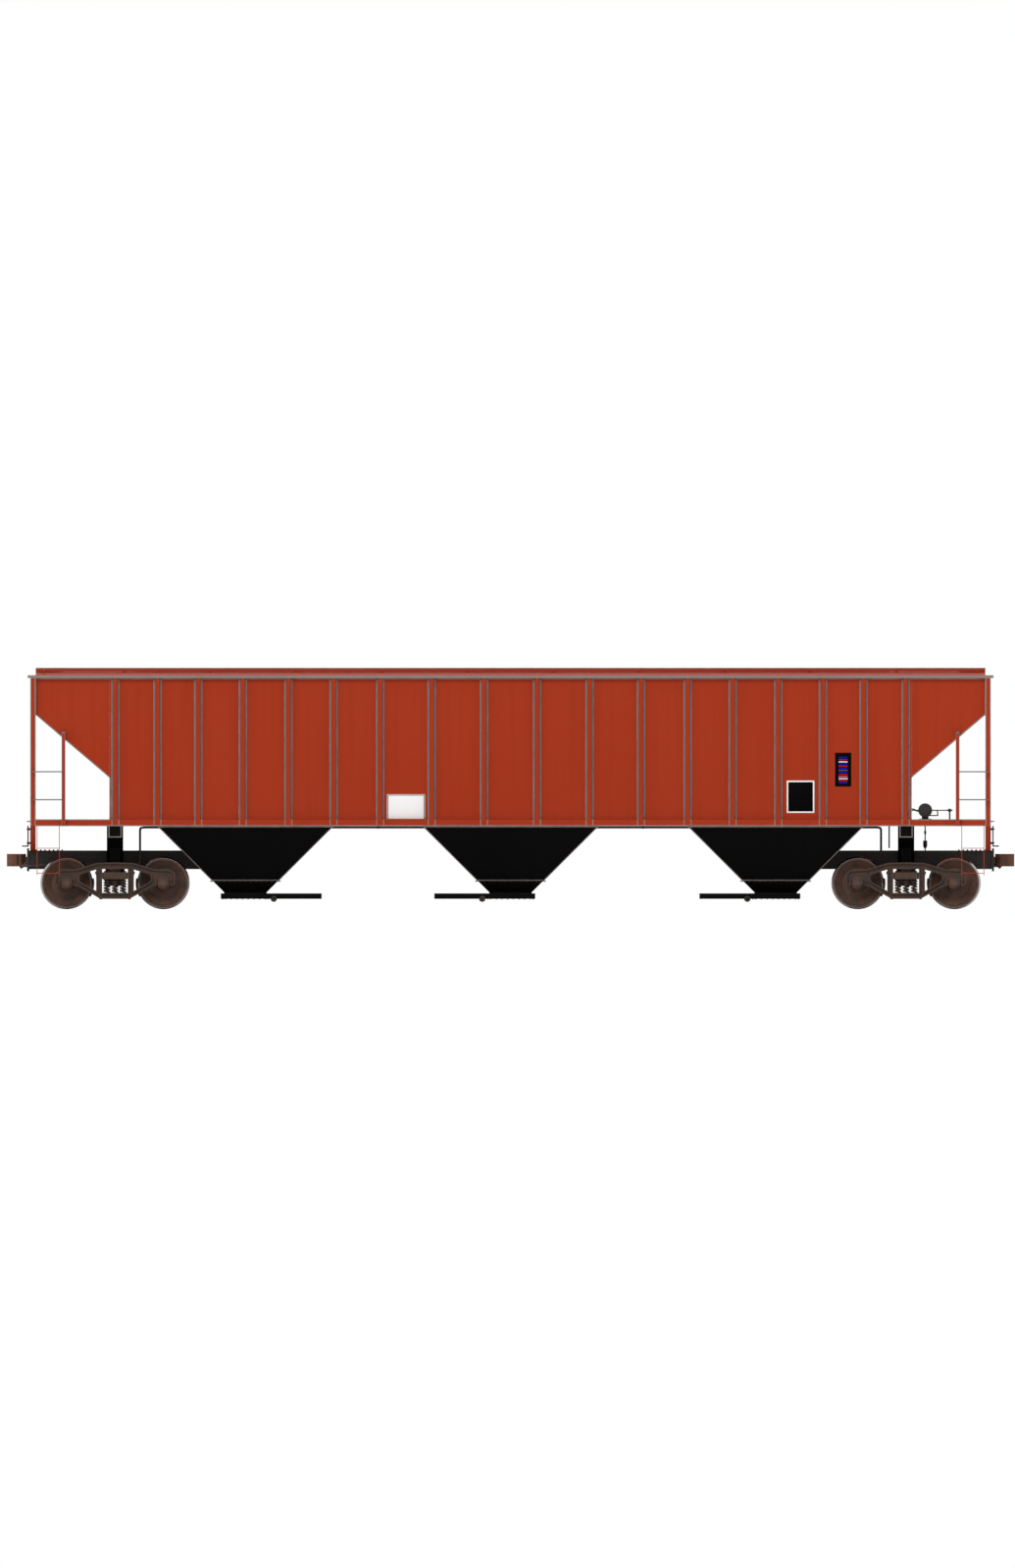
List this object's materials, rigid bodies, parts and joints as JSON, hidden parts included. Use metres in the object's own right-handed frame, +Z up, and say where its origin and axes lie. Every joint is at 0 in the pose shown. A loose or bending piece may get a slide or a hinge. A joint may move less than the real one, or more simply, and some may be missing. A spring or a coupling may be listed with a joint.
{
  "type": "covered hopper car",
  "caption": "Covered hopper railcar for grain, with exterior side posts, a trough roof hatch, sloped hoppers over rack and pinion outlet gates, and swivelling trucks.",
  "frame": {"origin": "under the middle of the car, level with the wheel flanges' lowest points; the rail top is 25 mm higher", "axes": "+X along the car, +Y to its left side, +Z up"},
  "size_m": [18.4902, 3.251, 4.4318],
  "materials": {
    "body_paint": "satin red-brown paint",
    "hopper_paint": "satin black paint",
    "outlet_steel": "matt black paint",
    "gate_steel": "bare worn steel",
    "galvanised": "galvanised",
    "wheel_steel": "rolled steel",
    "cast_steel": "cast steel, dull",
    "brake_paint": "black paint"
  },
  "bodies": {
    "car_body": {"air_reservoir": "brake_paint", "bay_dividers": "body_paint", "board_brackets": "galvanised", "body_bolsters": "hopper_paint", "boot_rings": "outlet_steel", "brake_cylinder": "brake_paint", "control_valve": "brake_paint", "draft_sills": "hopper_paint", "eave_bars": "body_paint", "end_decks": "body_paint", "end_ladders": "body_paint", "end_posts": "body_paint", "end_sills": "body_paint", "end_slope_sheets": "body_paint", "end_walls": "body_paint", "gate_rails": "outlet_steel", "hand_brake": "body_paint", "hatch_coaming": "body_paint", "hopper_sheets": "hopper_paint", "jacking_pads": "hopper_paint", "left_side_sheets": "body_paint", "outlet_funnels": "outlet_steel", "ridge_sheets": "body_paint", "right_side_sheets": "body_paint", "roof_sheets": "body_paint", "running_boards": "galvanised", "side_ladders": "body_paint", "side_posts": "body_paint", "side_sills": "body_paint", "sill_steps": "body_paint", "uncoupling_levers": "body_paint"},
    "truck_a": {"truck_a_side_frames": "cast_steel", "truck_a_bolster": "cast_steel", "truck_a_springs": "cast_steel", "truck_a_brake_beams": "cast_steel"},
    "truck_b": {"truck_b_side_frames": "cast_steel", "truck_b_bolster": "cast_steel", "truck_b_springs": "cast_steel", "truck_b_brake_beams": "cast_steel"},
    "wheelset_1": {"wheelset_1": "wheel_steel"},
    "wheelset_2": {"wheelset_2": "wheel_steel"},
    "wheelset_3": {"wheelset_3": "wheel_steel"},
    "wheelset_4": {"wheelset_4": "wheel_steel"},
    "coupler_a": {"coupler_a": "cast_steel"},
    "knuckle_a": {"knuckle_a": "cast_steel"},
    "coupler_b": {"coupler_b": "cast_steel"},
    "knuckle_b": {"knuckle_b": "cast_steel"},
    "hatch_cover_1": {"hatch_cover_1": "body_paint"},
    "hatch_cover_2": {"hatch_cover_2": "body_paint"},
    "hatch_cover_3": {"hatch_cover_3": "body_paint"},
    "hatch_cover_4": {"hatch_cover_4": "body_paint"},
    "outlet_gate_1": {"outlet_gate_1": "gate_steel"},
    "gate_shaft_1": {"gate_shaft_1": "gate_steel"},
    "outlet_gate_2": {"outlet_gate_2": "gate_steel"},
    "gate_shaft_2": {"gate_shaft_2": "gate_steel"},
    "outlet_gate_3": {"outlet_gate_3": "gate_steel"},
    "gate_shaft_3": {"gate_shaft_3": "gate_steel"}
  },
  "joints": [
    {"name": "truck_a_swivel", "type": "hinge", "parent": "car_body", "child": "truck_a", "pos_m": [7.26, 0, 0.679], "axis": [0, 0, 1], "range_deg": [-8, 8]},
    {"name": "truck_b_swivel", "type": "hinge", "parent": "car_body", "child": "truck_b", "pos_m": [-7.26, 0, 0.679], "axis": [0, 0, 1], "range_deg": [-8, 8]},
    {"name": "wheelset_1_roll", "type": "hinge", "parent": "truck_a", "child": "wheelset_1", "pos_m": [8.149, 0, 0.482], "axis": [0, 1, 0], "continuous": true},
    {"name": "wheelset_2_roll", "type": "hinge", "parent": "truck_a", "child": "wheelset_2", "pos_m": [6.371, 0, 0.482], "axis": [0, 1, 0], "continuous": true},
    {"name": "wheelset_3_roll", "type": "hinge", "parent": "truck_b", "child": "wheelset_3", "pos_m": [-6.371, 0, 0.482], "axis": [0, 1, 0], "continuous": true},
    {"name": "wheelset_4_roll", "type": "hinge", "parent": "truck_b", "child": "wheelset_4", "pos_m": [-8.149, 0, 0.482], "axis": [0, 1, 0], "continuous": true},
    {"name": "coupler_a_swing", "type": "hinge", "parent": "car_body", "child": "coupler_a", "pos_m": [8.385, 0, 0.901], "axis": [0, 0, 1], "range_deg": [-7, 7]},
    {"name": "knuckle_a_open", "type": "hinge", "parent": "coupler_a", "child": "knuckle_a", "pos_m": [9.0799, 0.112, 0.901], "axis": [0, 0, 1], "range_deg": [0, 45]},
    {"name": "coupler_b_swing", "type": "hinge", "parent": "car_body", "child": "coupler_b", "pos_m": [-8.385, 0, 0.901], "axis": [0, 0, 1], "range_deg": [-7, 7]},
    {"name": "knuckle_b_open", "type": "hinge", "parent": "coupler_b", "child": "knuckle_b", "pos_m": [-9.0799, -0.112, 0.901], "axis": [0, 0, 1], "range_deg": [0, 45]},
    {"name": "hatch_cover_1_lift", "type": "hinge", "parent": "car_body", "child": "hatch_cover_1", "pos_m": [-5.175, -0.384, 4.415], "axis": [1, 0, 0], "range_deg": [0, 160]},
    {"name": "hatch_cover_2_lift", "type": "hinge", "parent": "car_body", "child": "hatch_cover_2", "pos_m": [-1.725, -0.384, 4.415], "axis": [1, 0, 0], "range_deg": [0, 160]},
    {"name": "hatch_cover_3_lift", "type": "hinge", "parent": "car_body", "child": "hatch_cover_3", "pos_m": [1.725, -0.384, 4.415], "axis": [1, 0, 0], "range_deg": [0, 160]},
    {"name": "hatch_cover_4_lift", "type": "hinge", "parent": "car_body", "child": "hatch_cover_4", "pos_m": [5.175, -0.384, 4.415], "axis": [1, 0, 0], "range_deg": [0, 160]},
    {"name": "outlet_gate_1_slide", "type": "slide", "parent": "car_body", "child": "outlet_gate_1", "axis": [1, 0, 0], "range_m": [0, 0.78]},
    {"name": "gate_shaft_1_turn", "type": "hinge", "parent": "car_body", "child": "gate_shaft_1", "pos_m": [-4.346, 0, 0.194], "axis": [0, 1, 0], "range_deg": [0, 932]},
    {"name": "outlet_gate_2_slide", "type": "slide", "parent": "car_body", "child": "outlet_gate_2", "axis": [-1, 0, 0], "range_m": [0, 0.78]},
    {"name": "gate_shaft_2_turn", "type": "hinge", "parent": "car_body", "child": "gate_shaft_2", "pos_m": [-0.52, 0, 0.194], "axis": [0, 1, 0], "range_deg": [-932, 0]},
    {"name": "outlet_gate_3_slide", "type": "slide", "parent": "car_body", "child": "outlet_gate_3", "axis": [-1, 0, 0], "range_m": [0, 0.78]},
    {"name": "gate_shaft_3_turn", "type": "hinge", "parent": "car_body", "child": "gate_shaft_3", "pos_m": [4.346, 0, 0.194], "axis": [0, 1, 0], "range_deg": [-932, 0]}
  ],
  "couplings": [
    {"joint": "gate_shaft_1_turn", "follows": "outlet_gate_1_slide", "rad_per_m": 20.833},
    {"joint": "gate_shaft_2_turn", "follows": "outlet_gate_2_slide", "rad_per_m": -20.833},
    {"joint": "gate_shaft_3_turn", "follows": "outlet_gate_3_slide", "rad_per_m": -20.833}
  ]
}
